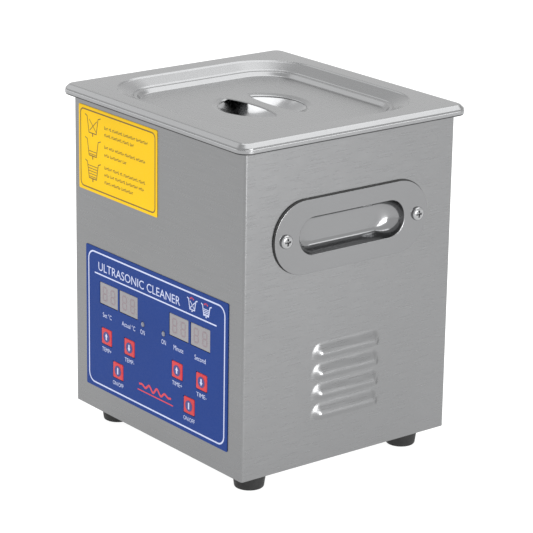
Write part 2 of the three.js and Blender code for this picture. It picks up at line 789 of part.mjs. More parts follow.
add(cleaner, "power_board", box(124, 84, 1.6, 0, 0, POWER_BOARD_Z + 0.8), "board");
add(cleaner, "drive_transformer", driveTransformer(), "ferrite", -42, 14);
add(cleaner, "heat_sink", heatSink(), "aluminium", 44, 10);
add(cleaner, "filter_capacitor", filterCapacitor(), "yellow", 42, -24);

add(cleaner, "transducer_horn", transducerHorn(), "aluminium");
add(cleaner, "piezo_ring_upper", stackRing(18.5, upperRingLow, upperRingLow + RING_H), "ceramic");
add(cleaner, "piezo_ring_lower", stackRing(18.5, lowerRingLow, lowerRingLow + RING_H), "ceramic");
add(cleaner, "transducer_back_mass", stackRing(18.5, backLow, backLow + BACK_H), "zinc");
add(cleaner, "transducer_bolt", transducerBolt(), "zinc");
add(cleaner, "heater_pad", heaterPad(), "silicone");
add(cleaner, "temperature_sensor", temperatureSensor(), "aluminium", 42, -32);

add(back, "power_inlet", powerInlet(), "black", -INLET_X, INLET_Z);
for (const [name, u, v] of pins) add(back, name, inletPin(), "brass", -INLET_X + u, INLET_Z + v);
for (const [side, u] of [["left", 20], ["right", -20]]) {
  const screw = panHeadScrew(3.2, 1.8, 1.6, 7);
  add(back, `inlet_screw_${side}`, screw, "zinc", -INLET_X + u, INLET_Z, FACE_W + GLUE);
}
add(back, "fuse_drawer", fuseDrawer(), "black", -INLET_X, INLET_Z);

export default cleaner;
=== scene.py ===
"""Bench-top ultrasonic cleaner: the visible skin, its materials, the lights and the camera.

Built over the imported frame: metres in Blender, millimetres in the sizes below, +Z up, and the front
faces -Y. On an upright face, u runs to the right seen from outside, v runs up and w runs outwards.
"""

import math

import bmesh
import bpy
from mathutils import Matrix, Vector
from mathutils.geometry import delaunay_2d_cdt


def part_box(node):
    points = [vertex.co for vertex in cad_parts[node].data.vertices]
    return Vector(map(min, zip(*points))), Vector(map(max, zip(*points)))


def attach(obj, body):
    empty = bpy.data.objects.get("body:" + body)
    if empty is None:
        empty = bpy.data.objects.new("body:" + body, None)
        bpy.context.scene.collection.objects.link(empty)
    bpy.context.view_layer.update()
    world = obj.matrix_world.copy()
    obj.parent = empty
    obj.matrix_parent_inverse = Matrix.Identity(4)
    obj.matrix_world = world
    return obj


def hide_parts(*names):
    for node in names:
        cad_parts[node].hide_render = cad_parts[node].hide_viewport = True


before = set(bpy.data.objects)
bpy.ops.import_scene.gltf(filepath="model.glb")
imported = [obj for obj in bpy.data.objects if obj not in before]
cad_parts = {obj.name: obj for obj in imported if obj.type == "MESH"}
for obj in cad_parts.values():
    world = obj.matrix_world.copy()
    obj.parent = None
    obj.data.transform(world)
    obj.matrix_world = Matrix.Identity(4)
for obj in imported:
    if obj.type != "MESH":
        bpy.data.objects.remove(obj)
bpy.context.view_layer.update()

MM = 0.001


def node_box(node):
    """Lowest and highest corners of a CAD node, in millimetres."""
    low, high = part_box(node)
    return [c / MM for c in low], [c / MM for c in high]


def node_centre(node):
    low, high = node_box(node)
    return [(a + b) / 2 for a, b in zip(low, high)]


# ---- Sizes, in millimetres ----

# Casing
CASE_LOW, CASE_HIGH = node_box("casing")
CASE_BOTTOM, CASE_TOP = CASE_LOW[2], CASE_HIGH[2]
LOUVRE_OUT = 2.8
HALF_D = CASE_HIGH[1]
HALF_W = CASE_HIGH[0] - LOUVRE_OUT
SHEET = 1.0  # casing sheet
BEND = 1.5  # outer radius of the upright bends
TOP_BEND = 1.0
INLET_HX, INLET_HY = 14.5, 15.5  # cut-out for the mains inlet
LOUVRE_W, LOUVRE_H = 52.0, 10.0
LOUVRE_ROWS = 4
LOUVRE_PITCH = 12.2
LOUVRE_LOW = CASE_BOTTOM + 26.4
LOUVRE_Y = -1.2
LOUVRE_LIP = 2.5  # upright part of a hood above its open edge
LOUVRE_TUCK = 0.2  # share of the hood's depth that its open edge turns back in
LOUVRE_END = 7.0  # how far each end takes to rise

# Tank
RIM_HX, RIM_HY, RIM_TOP = node_box("tank")[1]
RIM_R = 7.5
RIM_EDGE = 2.0  # height of the rim's turned edge
LEAN = RIM_HX - RIM_HY  # everything round the tank is this much shorter, front to back
MOUTH_HX = 75.0
DRAW_R = 26.0
TANK_DEPTH = 100.0
TAPER = 0.065
DRAWN = 0.8  # drawn sheet of the tank

# Lid
LID_HX, LID_HY, LID_TOP = node_box("lid")[1]
LID_SHEET = 0.7
TRAY_HX, TRAY_HY, TRAY_R = 74.0, 68.4, 35.0  # the tray's mouth
TRAY_DEPTH = 6.8
BOWL_R = 29.8
BOWL_DEPTH = 9.5
BOWL_FLANGE = 3.5  # how far the bowl's welded flange reaches past it
BOWL_MOUTH = BOWL_R - 3.1  # where the bowl's wall starts, just outside the turned-down lip
BOWL_WALL = 0.3  # upright part round the bowl's top
BOWL_CURVE = 2.0  # power of the bowl's profile: higher is flatter in the middle
GAP_R = BOWL_MOUTH - 0.9  # outer arc of the two finger gaps
STRAP_WAIST = 4.2
STRAP_END = 8.0
STRAP_ARCH = 0.2  # how far the strap rises at its middle
STRAP_LIP = 0.25  # the lip's size along the strap, as a share of its size round the arc

# Side handles
HANDLE_Y = 0.3
HANDLE_Z = CASE_BOTTOM + 137.4
POCKET_HX, POCKET_HY = 38.4, 11.0
POCKET_LEAN_X, POCKET_LEAN_Y = 11.5, 5.2  # how far the pocket's ends and sides lean inwards
CUP_HX, CUP_HY = 56.0, 21.5
CUP_OUT = 1.2
CUP_LIP = 0.55  # radius of the edge between flange and pocket
CUP_DEPTH = 8.5
SHADE_GAP = 0.7  # gap between the flange and the casing, filled by a black strip of painted shade
SHADOW_SHIFT = 0.45  # the painted shade strip sits this much off centre, up and to the front, so it shows along the flange's upper front edges as its shadow

# Feet and screws
FOOT_SOLE = 5.0  # depth of the recess in a foot's sole
SCREW_GAP = 0.05  # heads stand this far off what they hold

# Front panel
PANEL_T = 0.5
DISPLAY_HX, DISPLAY_HY = 9.15, 6.65
DIGIT_X = 4.1  # each digit's distance from the middle of its window
DIGIT_W, DIGIT_H = 3.9, 4.1  # width of a digit, and height of half of it
LAMP_R = 1.5
KEY_HX, KEY_HY = 5.15, 5.0
KEY_PROUD = 0.3
KEY_CROWN = 0.12  # rise from a cap's edge to its middle
WINDOW_GAP = 0.3
INK = 0.04  # how far a print stands off what it is printed on

# Caution plate
PLATE_HX, PLATE_HY = 39.7, 25.7
PLATE_T = 0.35


# ---- Shapes: vertices and faces in millimetres ----


class Shape:
    """Vertices and faces, with the number of its material for each face."""

    def __init__(self):
        self.verts = []
        self.faces = []
        self.kinds = []

    def add(self, verts, faces, kind=0):
        base = len(self.verts)
        self.verts += [Vector(v) for v in verts]
        self.faces += [tuple(base + i for i in face) for face in faces]
        self.kinds += [kind] * len(faces)

    def merge(self, other, place=Matrix()):
        """Adds another shape, moved by a matrix in millimetres."""
        base = len(self.verts)
        self.verts += [place @ v for v in other.verts]
        self.faces += [tuple(base + i for i in face) for face in other.faces]
        self.kinds += other.kinds

    def strips(self, loops, kind=0, closed=True):
        """Quads between each loop of points and the next."""
        count = len(loops[0])
        faces = []
        for row in range(len(loops) - 1):
            for i in range(count if closed else count - 1):
                a = row * count + i
                b = row * count + (i + 1) % count
                faces.append((a, b, b + count, a + count))
        self.add([p for loop in loops for p in loop], faces, kind)

    def flat(self, outer, holes=(), w=0.0, kind=0):
        """A flat face at height w, inside the loop outer and outside each loop of holes."""
        points, edges = [], []
        for loop in [outer, *holes]:
            base, count = len(points), len(loop)
            points += [Vector(p[:2]) for p in loop]
            edges += [(base + i, base + (i + 1) % count) for i in range(count)]
        made, _, triangles, *_ = delaunay_2d_cdt(points, edges, [], 0, 1e-4)
        kept = []
        for triangle in triangles:
            middle = sum((made[i] for i in triangle), Vector((0, 0))) / len(triangle)
            if encloses(outer, middle) and not any(encloses(hole, middle) for hole in holes):
                kept.append(triangle)
        self.add([(p.x, p.y, w) for p in made], kept, kind)

    def ribbon(self, points, width, w, kind=0, closed=False):
        """A line of even width drawn through the points at height w."""
        count = len(points)
        left, right = [], []
        for i in range(count):
            here = Vector(points[i][:2])
            before = Vector(points[i - 1][:2]) if closed or i else here
            after = Vector(points[(i + 1) % count][:2]) if closed or i < count - 1 else here
            one = (here - before).normalized() if before != here else (after - here).normalized()
            two = (after - here).normalized() if after != here else one
            across = Vector((-(one + two).y, (one + two).x)).normalized()
            reach = width / 2 / max(0.5, across.dot(Vector((-one.y, one.x))))
            left.append((here.x + across.x * reach, here.y + across.y * reach, w))
            right.append((here.x - across.x * reach, here.y - across.y * reach, w))
        self.strips([right, left], kind, closed)


def encloses(loop, point):
    """Whether a point is inside a closed loop: counts the edges to its right."""
    inside = False
    for i in range(len(loop)):
        (ax, ay), (bx, by) = loop[i - 1][:2], loop[i][:2]
        if (ay > point.y) != (by > point.y) and point.x < (bx - ax) * (point.y - ay) / (by - ay) + ax:
            inside = not inside
    return inside


def arc(cx, cy, radius, start, end, steps):
    """Points on a circle between two angles in degrees."""
    points = []
    for i in range(steps + 1):
        angle = math.radians(start + (end - start) * i / steps)
        points.append((cx + radius * math.cos(angle), cy + radius * math.sin(angle)))
    return points


def rounded(hx, hy, r, steps=8):
    """Closed loop of a rectangle with rounded corners; r = hy gives an obround."""
    loop = []
    for sx, sy, start in ((1, 1, 0), (-1, 1, 90), (-1, -1, 180), (1, -1, 270)):
        loop += arc(sx * (hx - r), sy * (hy - r), r, start, start + 90, steps)
    return loop


def moved(loop, u, v):
    return [(p[0] + u, p[1] + v) for p in loop]


def at_height(loop, w):
    return [(p[0], p[1], w) for p in loop]


def stacked(hx, hy, r, profile, steps=8):
    """Loops of a rounded rectangle that shrinks by the profile's first number, at its second."""
    return [at_height(rounded(hx - by, hy - by, max(r - by, 0.01), steps), w) for by, w in profile]


def filleted(points, steps=4):
    """Path through the points, whose last number says how far before and after it a corner is rounded."""
    path = []
    for i, point in enumerate(points):
        here, reach = Vector(point[:-1]), point[-1]
        if not reach:
            path.append(tuple(here))
            continue
        back = Vector(points[i - 1][:-1]) - here
        ahead = Vector(points[i + 1][:-1]) - here
        start = here + back.normalized() * min(reach, back.length / 2)
        end = here + ahead.normalized() * min(reach, ahead.length / 2)
        for step in range(steps + 1):
            t = step / steps
            path.append(tuple(start * (1 - t) ** 2 + here * (2 * t * (1 - t)) + end * t**2))
    return path


def turned(profile, around=48):
    """Loops round the w axis, one for each (radius, w) of the profile."""
    return [at_height(arc(0, 0, max(r, 0.001), 0, 360 - 360 / around, around - 1), w) for r, w in profile]


def smooth(low, high, value):
    t = min(1.0, max(0.0, (value - low) / (high - low)))
    return t * t * (3 - 2 * t)


def face_place(turn, distance, u=0.0, v=0.0, w=0.0):
    """Matrix from an upright face's own u, v, w to the world, turned from the front about +Z."""
    c, s = math.cos(math.radians(turn)), math.sin(math.radians(turn))
    face = Matrix(((c, 0, s, s * distance), (s, 0, -c, -c * distance), (0, 1, 0, 0), (0, 0, 0, 1)))
    return face @ Matrix.Translation((u, v, w))


def on_front(u=0.0, v=0.0, w=0.0):
    return face_place(0, HALF_D, u, v, w)


# ---- Pieces: objects that ride on the frame's bodies ----


def mesh_of(name, shape, place):
    mesh = bpy.data.meshes.new(name)
    mesh.from_pydata([(place @ v) * MM for v in shape.verts], [], shape.faces)
    mesh.polygons.foreach_set("material_index", shape.kinds)
    work = bmesh.new()
    work.from_mesh(mesh)
    bmesh.ops.remove_doubles(work, verts=work.verts, dist=1e-6)
    bmesh.ops.dissolve_degenerate(work, edges=work.edges, dist=1e-7)
    bmesh.ops.recalc_face_normals(work, faces=work.faces)
    work.to_mesh(mesh)
    work.free()
    return mesh


def face_up(mesh):
    """Turns an open skin over if its highest flat face looks down, so that its sheet lies behind it."""
    top = max(face.center.z for face in mesh.polygons)
    highest = [face for face in mesh.polygons if face.center.z > top - 0.05 * MM]
    if sum(face.normal.z * face.area for face in highest) < 0:
        mesh.flip_normals()


def thickened(piece, thickness):
    """Gives an open skin the thickness of its sheet, on the inner side."""
    solid = piece.modifiers.new("sheet", "SOLIDIFY")
    solid.thickness = thickness * MM
    solid.offset = -1
    solid.use_even_offset = True
    graph = bpy.context.evaluated_depsgraph_get()
    thick = bpy.data.meshes.new_from_object(piece.evaluated_get(graph))
    piece.modifiers.clear()
    piece.data = thick


def piece(name, shape, materials, body, slot, stands_for=(), place=Matrix(), sheet=0.0, crease=32):
    """An object of the shape, riding on a body, in place of the CAD nodes it stands for."""
    mesh = mesh_of(name, shape, place)
    for material in materials:
        mesh.materials.append(material)
    if sheet:
        face_up(mesh)
    made = bpy.data.objects.new(name, mesh)
    bpy.context.scene.collection.objects.link(made)
    if sheet:
        thickened(made, sheet)
    made.data.polygons.foreach_set("use_smooth", [True] * len(made.data.polygons))
    made.data.set_sharp_from_angle(angle=math.radians(crease))
    weighted = made.modifiers.new("normals", "WEIGHTED_NORMAL")
    weighted.keep_sharp = True
    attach(made, body)
    if stands_for:
        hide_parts(*stands_for)
    return made


# ---- Materials ----


class Nodes:
    """A new material's node tree, with short calls to add and join nodes."""

    def __init__(self, name):
        self.material = bpy.data.materials.new(name)
        self.material.use_nodes = True
        self.tree = self.material.node_tree
        self.shader = self.tree.nodes["Principled BSDF"]

    def add(self, kind, **settings):
        node = self.tree.nodes.new(kind)
        for key, value in settings.items():
            if hasattr(node, key):
                setattr(node, key, value)
            else:
                node.inputs[key].default_value = value
        return node

    def link(self, source, target):
        self.tree.links.new(source, target)

    def noise(self, stretch, scale, detail=4.0, roughness=0.6):
        """Noise in the object's own space: stretch makes it finer along an axis."""
        where = self.add("ShaderNodeTexCoord")
        mapping = self.add("ShaderNodeMapping")
        mapping.inputs["Scale"].default_value = stretch
        noise = self.add("ShaderNodeTexNoise", Scale=scale, Detail=detail, Roughness=roughness)
        self.link(where.outputs["Object"], mapping.inputs["Vector"])
        self.link(mapping.outputs["Vector"], noise.inputs["Vector"])
        return noise.outputs["Fac"]

    def between(self, value, low, high, socket):
        """Drives a socket between two numbers by a noise value."""
        spread = self.add("ShaderNodeMapRange")
        spread.inputs["From Min"].default_value = 0.3
        spread.inputs["From Max"].default_value = 0.7
        spread.inputs["To Min"].default_value = low
        spread.inputs["To Max"].default_value = high
        self.link(value, spread.inputs["Value"])
        self.link(spread.outputs["Result"], self.shader.inputs[socket])

    def tint(self, value, colour, change):
        """Base colour that wanders a little darker and lighter with a noise value."""
        ramp = self.add("ShaderNodeValToRGB")
        ramp.color_ramp.elements[0].position = 0.3
        ramp.color_ramp.elements[1].position = 0.7
        for element, share in zip(ramp.color_ramp.elements, (1 - change, 1 + change)):
            element.color = (*[c * share for c in colour], 1)
        self.link(value, ramp.inputs["Fac"])
        self.link(ramp.outputs["Color"], self.shader.inputs["Base Color"])

    def bump(self, value, strength, distance):
        bump = self.add("ShaderNodeBump")
        bump.inputs["Strength"].default_value = strength
        bump.inputs["Distance"].default_value = distance * MM
        self.link(value, bump.inputs["Height"])
        self.link(bump.outputs["Normal"], self.shader.inputs["Normal"])


def linear(r, g, b):
    """Linear colour of an 8-bit display colour."""
    return tuple((c / 255 / 12.92) if c <= 10 else ((c / 255 + 0.055) / 1.055) ** 2.4 for c in (r, g, b))


def metal(name, colour, roughness, grain, scale, change=0.05, bump=0.05, spread=0.25):
    """Metal with a fine grain: the grain's stretch says along which axis it is drawn out."""
    made = Nodes(name)
    made.shader.inputs["Metallic"].default_value = 1.0
    lines = made.noise(grain, scale, 3.0, 0.65)
    clouds = made.noise((1, 1, 1), 9.0, 3.0, 0.5)
    made.tint(clouds, colour, change)
    made.between(lines, roughness * (1 - spread), roughness * (1 + spread), "Roughness")
    made.bump(lines, bump, 0.05)
    return made.material


def plastic(name, colour, roughness, scale=600.0, change=0.04, bump=0.04, coat=0.0, gloss=0.5):
    """Moulded or printed surface with a fine skin texture."""
    made = Nodes(name)
    skin = made.noise((1, 1, 1), scale, 3.0, 0.5)
    clouds = made.noise((1, 1, 1), 30.0, 3.0, 0.5)
    made.tint(clouds, colour, change)
    made.between(skin, roughness * 0.85, roughness * 1.15, "Roughness")
    made.bump(skin, bump, 0.05)
    made.shader.inputs["Coat Weight"].default_value = coat
    made.shader.inputs["Specular IOR Level"].default_value = gloss
    return made.material


def satin_steel():
    return metal("satin_steel", (0.228, 0.23, 0.233), 0.32, (1, 1, 30), 60.0, change=0.03)


def lid_steel():
    colour = (0.225, 0.227, 0.23)
    return metal("lid_steel", colour, 0.26, (1, 30, 1), 60.0, change=0.03, bump=0.008, spread=0.12)


def drawn_steel():
    return metal("drawn_steel", (0.3, 0.303, 0.308), 0.2, (6, 6, 6), 60.0, bump=0.02)


def cup_steel():
    return metal("cup_steel", (0.24, 0.242, 0.246), 0.17, (1, 1, 30), 60.0, change=0.03)


def zinc_steel():
    return metal("zinc_steel", (0.45, 0.47, 0.48), 0.32, (4, 4, 4), 80.0, change=0.12)


def screw_steel():
    return metal("screw_steel", (0.36, 0.363, 0.368), 0.16, (8, 8, 8), 200.0, bump=0.03)


def cast_aluminium():
    return metal("cast_aluminium", (0.6, 0.61, 0.62), 0.4, (1, 1, 20), 80.0, change=0.08)


def pin_brass():
    return metal("pin_brass", (0.65, 0.5, 0.22), 0.25, (4, 4, 4), 100.0)


def panel_blue():
    return plastic("panel_blue", linear(19, 55, 126), 0.5, 900.0, 0.03, 0.03, gloss=0.15)


def caution_yellow():
    return plastic("caution_yellow", linear(236, 190, 6), 0.5, 900.0, 0.03, 0.03, gloss=0.15)


def key_red():
    return plastic("key_red", linear(196, 24, 38), 0.38, 700.0, 0.05, 0.05)


def print_white():
    return plastic("print_white", linear(198, 205, 232), 0.5, 1500.0, 0.03, 0.05, gloss=0.2)


def print_red():
    return plastic("print_red", linear(200, 45, 62), 0.5, 1500.0, 0.05, 0.05)


def print_blue():
    return plastic("print_blue", linear(46, 50, 120), 0.45, 1500.0, 0.05, 0.05)


def print_olive():
    return plastic("print_olive", linear(112, 84, 8), 0.5, 1500.0, 0.08, 0.05)


def display_window():
    return plastic("display_window", linear(144, 142, 145), 0.3, 1200.0, 0.06, 0.02, gloss=0.3)


def display_segment():
    return plastic("display_segment", linear(138, 124, 130), 0.3, 1200.0, 0.08, 0.02, gloss=0.3)


def lamp_lens():
    return plastic("lamp_lens", linear(112, 116, 134), 0.18, 800.0, 0.05, 0.02, coat=0.4)


def foot_rubber():
    return plastic("foot_rubber", linear(10, 10, 10), 0.62, 500.0, 0.15, 0.25)


def seal_silicone():
    return plastic("seal_silicone", linear(40, 40, 42), 0.6, 400.0, 0.15, 0.2)


def inlet_black():
    return plastic("inlet_black", linear(30, 30, 32), 0.38, 500.0, 0.1, 0.15)


def switch_black():
    return plastic("switch_black", linear(26, 26, 28), 0.45, 500.0, 0.1, 0.1)


def frame_grey():
    return plastic("frame_grey", linear(96, 98, 100), 0.5, 500.0, 0.08, 0.12)


def board_green():
    return plastic("board_green", linear(24, 92, 48), 0.3, 250.0, 0.18, 0.1, coat=0.5)


def ferrite_black():
    return plastic("ferrite_black", linear(46, 46, 48), 0.6, 300.0, 0.2, 0.3)


def capacitor_yellow():
    return plastic("capacitor_yellow", linear(214, 168, 42), 0.35, 400.0, 0.06, 0.08)


def piezo_ceramic():
    return plastic("piezo_ceramic", linear(214, 205, 182), 0.55, 700.0, 0.06, 0.15)


def floor_paper():
    """Backlit white sheet: a little light of its own keeps the object's shadow faint."""
    paper = plastic("floor_paper", (0.2, 0.2, 0.2), 0.8, 40.0, 0.01, 0.02)
    shader = paper.node_tree.nodes["Principled BSDF"]
    shader.inputs["Emission Color"].default_value = (1, 1, 1, 1)
    shader.inputs["Emission Strength"].default_value = 0.92
    return paper


# ---- Casing ----


def louvre(u, v):
    """A pressed hood, open along its lower edge at v, and the loop of its footprint."""
    hood = Shape()
    straight = LOUVRE_W / 2 - LOUVRE_END
    rise_v = LOUVRE_H - LOUVRE_LIP
    lip = [LOUVRE_LIP * k / 3 for k in range(3)]
    rings = []
    steps = 10
    for i in range(steps + 1):
        t = i / steps
        path = [(straight + LOUVRE_END * t, y) for y in lip]
        for angle in range(0, 91, 10):
            a = math.radians(angle)
            path.append((straight + LOUVRE_END * t * math.cos(a), LOUVRE_LIP + rise_v * t * math.sin(a)))
        path += [(-x, y) for x, y in reversed(path)]
        ring = []
        for x, y in path:
            tuck = 1 - LOUVRE_TUCK * smooth(0, 1, (LOUVRE_LIP - y) / LOUVRE_LIP)
            ring.append((u + x, v + y, LOUVRE_OUT * (1 - smooth(0, 1, t)) * tuck))
        rings.append(ring)
    hood.strips(rings, closed=False)
    middle = rings[0]
    flat_rows = [[middle[k], middle[-1 - k]] for k in range(len(lip) + 1)]
    hood.strips(flat_rows, closed=False)
    return hood, [p[:2] for p in rings[-1]]


def window_loops(grow):
    """Loops of the panel's windows for displays, keys and lamps."""
    loops = []
    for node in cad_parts:
        if node.startswith(("display_", "key_")):
            hx, hy = (DISPLAY_HX, DISPLAY_HY) if node.startswith("display_") else (KEY_HX, KEY_HY)
            loops.append(moved(rounded(hx + grow, hy + grow, 0.5, 2), *uv_of(node)))
        elif node.endswith("_lamp"):
            loops.append(moved(arc(0, 0, LAMP_R + grow, 0, 345, 23), *uv_of(node)))
    return loops


def uv_of(node):
    """Middle of a node on the front face."""
    x, _, z = node_centre(node)
    return x, z


def casing_shell():
    """Four walls with their cut-outs and louvres, the upright bends between them and the top flange."""
    shell = Shape()
    top = CASE_TOP - TOP_BEND
    for turn, half, distance in (
        (0, HALF_W, HALF_D),
        (90, HALF_D, HALF_W),
        (180, HALF_W, HALF_D),
        (270, HALF_D, HALF_W),
    ):
        wall = Shape()
        holes = []
        towards = 1 if turn == 90 else -1
        if turn == 0:
            holes = window_loops(WINDOW_GAP)
        elif turn == 180:
            x, _, z = node_centre("power_inlet")
            holes = [moved(rounded(INLET_HX, INLET_HY, 0.5, 2), -x, z)]
        else:
            pocket = rounded(POCKET_HX + 1.0, POCKET_HY + 1.2, POCKET_HY + 1.2)
            holes = [moved(pocket, towards * HANDLE_Y, HANDLE_Z)]
            for row in range(LOUVRE_ROWS):
                hood, footprint = louvre(towards * LOUVRE_Y, LOUVRE_LOW + row * LOUVRE_PITCH)
                wall.merge(hood)
                holes.append(footprint)
        side = half - BEND
        wall.flat([(side, CASE_BOTTOM), (side, top), (-side, top), (-side, CASE_BOTTOM)], holes)
        shell.merge(wall, face_place(turn, distance))
    steps = 6
    for corner in range(4):
        bend = rounded(HALF_W, HALF_D, BEND, steps)[corner * (steps + 1) : (corner + 1) * (steps + 1)]
        shell.strips([at_height(bend, CASE_BOTTOM), at_height(bend, top)], closed=False)
    over = [(TOP_BEND - x, top + y) for x, y in arc(0, 0, TOP_BEND, 0, 90, 4)]
    loops = stacked(HALF_W, HALF_D, BEND, over, steps)
    flange = MOUTH_HX + 2.2  # the flange stops just clear of the tank
    loops.append(at_height(rounded(flange, flange - LEAN, DRAW_R + 1, steps), CASE_TOP))
    shell.strips(loops)
    return piece("casing_shell", shell, [satin_steel()], "cabinet", "satin_steel", ["casing"], sheet=SHEET)


# ---- Tank and lid ----


def tank_shell():
    """Deep-drawn pan: floor, leaning walls, rim and its turned edge."""
    foot = TAPER * TANK_DEPTH
    wall = [(foot + 15, -TANK_DEPTH, 0), (foot, -TANK_DEPTH, 8), (0, 0, 4), (-5, 0, 0)]
    loops = stacked(MOUTH_HX, MOUTH_HX - LEAN, DRAW_R, filleted(wall, 6))
    edge = [(3, 0, 0), (0.3, 0, 0.1), (0, -0.35, 0.1), (0, -RIM_EDGE, 0)]
    loops += stacked(RIM_HX, RIM_HY, RIM_R, filleted(edge))
    loops = [[(x, y, RIM_TOP + w) for x, y, w in loop] for loop in loops]
    shell = Shape()
    shell.strips(loops)
    shell.flat([p[:2] for p in loops[0]], w=RIM_TOP - TANK_DEPTH)
    return piece("tank_shell", shell, [drawn_steel()], "cabinet", "drawn_steel", ["tank"], sheet=DRAWN)


def rim_shade_strip(rubber):
    """Dark strip below the rim's turned edge, painted shade for the shadow under the rim."""
    low, high = RIM_TOP - RIM_EDGE - 0.9, RIM_TOP - RIM_EDGE - 0.02
    inner = RIM_HX - HALF_W - 0.7
    inset = 0.5  # how far the strip stands back from the edge
    section = filleted([(inner, high, 0), (0, high, 0.1), (0, low, 0.3), (inner, low, 0)])
    loops = stacked(RIM_HX - inset, RIM_HY - inset, RIM_R - inset, section)
    strip = Shape()
    strip.strips([*loops, loops[0]])
    piece("rim_shade_strip", strip, [rubber], "cabinet", "seal_silicone")


def gap_outline(side, grow):
    """One finger gap beside the strap: the bowl's arc and the strap's waisted edge.

    The third number of each point is its share of the lip, which is small along the strap.
    """
    meet = math.degrees(math.asin(STRAP_END / GAP_R))
    x0 = GAP_R * math.cos(math.radians(meet))
    loop = arc(0, 0, GAP_R, meet, 180 - meet, 40)
    control = 2 * STRAP_WAIST - STRAP_END
    for i in range(1, 30):
        t = i / 30
        x = -x0 * (1 - t) ** 2 + x0 * t * t
        y = STRAP_END * ((1 - t) ** 2 + t * t) + 2 * t * (1 - t) * control
        loop.append((x, y))
    for _ in range(4):  # rounds the two corners
        loop = [
            ((a[0] + 2 * b[0] + c[0]) / 4, (a[1] + 2 * b[1] + c[1]) / 4)
            for a, b, c in zip(loop[-1:] + loop[:-1], loop, loop[1:] + loop[:1])
        ]
    grown = []
    for i, (x, y) in enumerate(loop):
        (ax, ay), (bx, by) = loop[i - 1], loop[(i + 1) % len(loop)]
        length = math.hypot(bx - ax, by - ay)
        share = STRAP_LIP + (1 - STRAP_LIP) * smooth(GAP_R - 1.5, GAP_R - 0.3, math.hypot(x, y))
        reach = grow * share / length
        grown.append((x + reach * (by - ay), side * (y - reach * (bx - ax)), share))
    return grown


def arched(x, y):
    """How far the strap stands above the tray's floor at a point."""
    share = x / BOWL_R
    if abs(share) > 1 or abs(y) > STRAP_END + 0.5:
        return 0.0
    return STRAP_ARCH * (1 - share**2) ** 2


def lid_shell():
    """Pressed tray lid with two finger gaps whose edges are turned down."""
    edge = [(0, -3.05, 0), (0, -2.3, 0.25), (2.4, 0, 0.8), (4.5, 0, 0)]
    loops = stacked(LID_HX, LID_HY, RIM_R - 0.3, filleted(edge), 12)
    tray = [
        (-1.5, 0, 0),
        (0, 0, 0.3),
        (0.8, -0.8, 0.3),
        (9.4, -3.8, 0.5),
        (9.9, -4.4, 0.2),
        (11.7, -4.5, 0.4),
        (13.9, -TRAY_DEPTH, 0.7),
        (16.5, -TRAY_DEPTH, 0),
    ]
    loops += stacked(TRAY_HX, TRAY_HY, TRAY_R, filleted(tray), 12)
    loops = [[(x, y, LID_TOP + w) for x, y, w in loop] for loop in loops]
    shell = Shape()
    shell.strips(loops)
    floor = LID_TOP - TRAY_DEPTH
    lip = filleted([(4.6, 0, 0), (3.4, 0, 0.9), (0.5, -0.75, 0.6), (0, -1.3, 0)], 6)
    shell.flat([p[:2] for p in loops[-1]], [gap_outline(side, lip[0][0]) for side in (1, -1)], floor)
    for side in (1, -1):
        shell.strips(
            [[(x, y, floor + w * share) for x, y, share in gap_outline(side, by)] for by, w in lip]
        )
    for point in shell.verts:
        if point.z < floor + 0.1:
            point.z += arched(point.x, point.y)
    return piece("lid_shell", shell, [lid_steel()], "lid", "satin_steel", ["lid"], sheet=LID_SHEET)


def bowl_shell():
    """Round finger bowl under the lid, as a turned skin."""
    seat = LID_TOP - TRAY_DEPTH - LID_SHEET - 0.05
    drop = BOWL_DEPTH - LID_SHEET
    profile = [(BOWL_R + BOWL_FLANGE, seat), (BOWL_MOUTH + 0.3, seat), (BOWL_MOUTH, seat - 0.1)]
    for i in range(20, -1, -1):
        share = i / 20
        fall = BOWL_WALL + (drop - BOWL_WALL) * (1 - share**BOWL_CURVE)
        profile.append((BOWL_MOUTH * share, seat - fall))
    shell = Shape()
    shell.strips(turned(profile, 72))
    return piece("bowl_shell", shell, [drawn_steel()], "lid", "drawn_steel", ["lid_bowl"], sheet=LID_SHEET)


# ---- Side handles, screws and feet ----


def handle_cup(side, turn, steel, rubber):
    """Drawn pocket handle: flat flange, small lip, walls that lean more at the ends, and a flat floor.

    A black strip behind the flange's edge paints the shade in the gap and the flange's shadow.
    """
    towards = 1 if turn == 90 else -1
    edge = [(0.9, SHADE_GAP, 0), (0, SHADE_GAP, 0.1), (0, CUP_OUT, 0.25), (1.5, CUP_OUT, 0)]
    loops = stacked(CUP_HX, CUP_HY, CUP_HY, filleted(edge), 14)
    wall = []
    for c, s in arc(0, 0, 1, 90, 0, 4):
        wall.append((CUP_LIP * (c - 1), CUP_LIP * (c - 1), CUP_OUT - CUP_LIP * (1 - s)))
    for c, s in arc(0, 0, 1, 0, 90, 9):
        drop = (CUP_DEPTH + CUP_OUT - CUP_LIP) * s
        wall.append((POCKET_LEAN_X * (1 - c), POCKET_LEAN_Y * (1 - c), CUP_OUT - CUP_LIP - drop))
    for bx, by, w in wall:
        loops.append(at_height(rounded(POCKET_HX - bx, POCKET_HY - by, POCKET_HY - by, 14), w))
    cup = Shape()
    cup.strips(loops)
    cup.flat([p[:2] for p in loops[-1]], w=-CUP_DEPTH)
    # painted shadow: black strip under the flange's edge, shifted up and to the front
    strip = [(2, 0.05, 0), (-0.35, 0.05, 0.1), (-0.35, SHADE_GAP - 0.02, 0.1), (2, SHADE_GAP - 0.02, 0)]
    rings = stacked(CUP_HX, CUP_HY, CUP_HY, filleted(strip), 14)
    shift = SHADOW_SHIFT
    cup.strips([[(x - shift * towards, y + shift, w) for x, y, w in ring] for ring in rings], 1)
    place = face_place(turn, HALF_W, towards * HANDLE_Y, HANDLE_Z)
    stands_for = [f"handle_cup_{side}"]
    piece(f"handle_{side}", cup, [steel, rubber], "cabinet", "drawn_steel", stands_for, place=place)


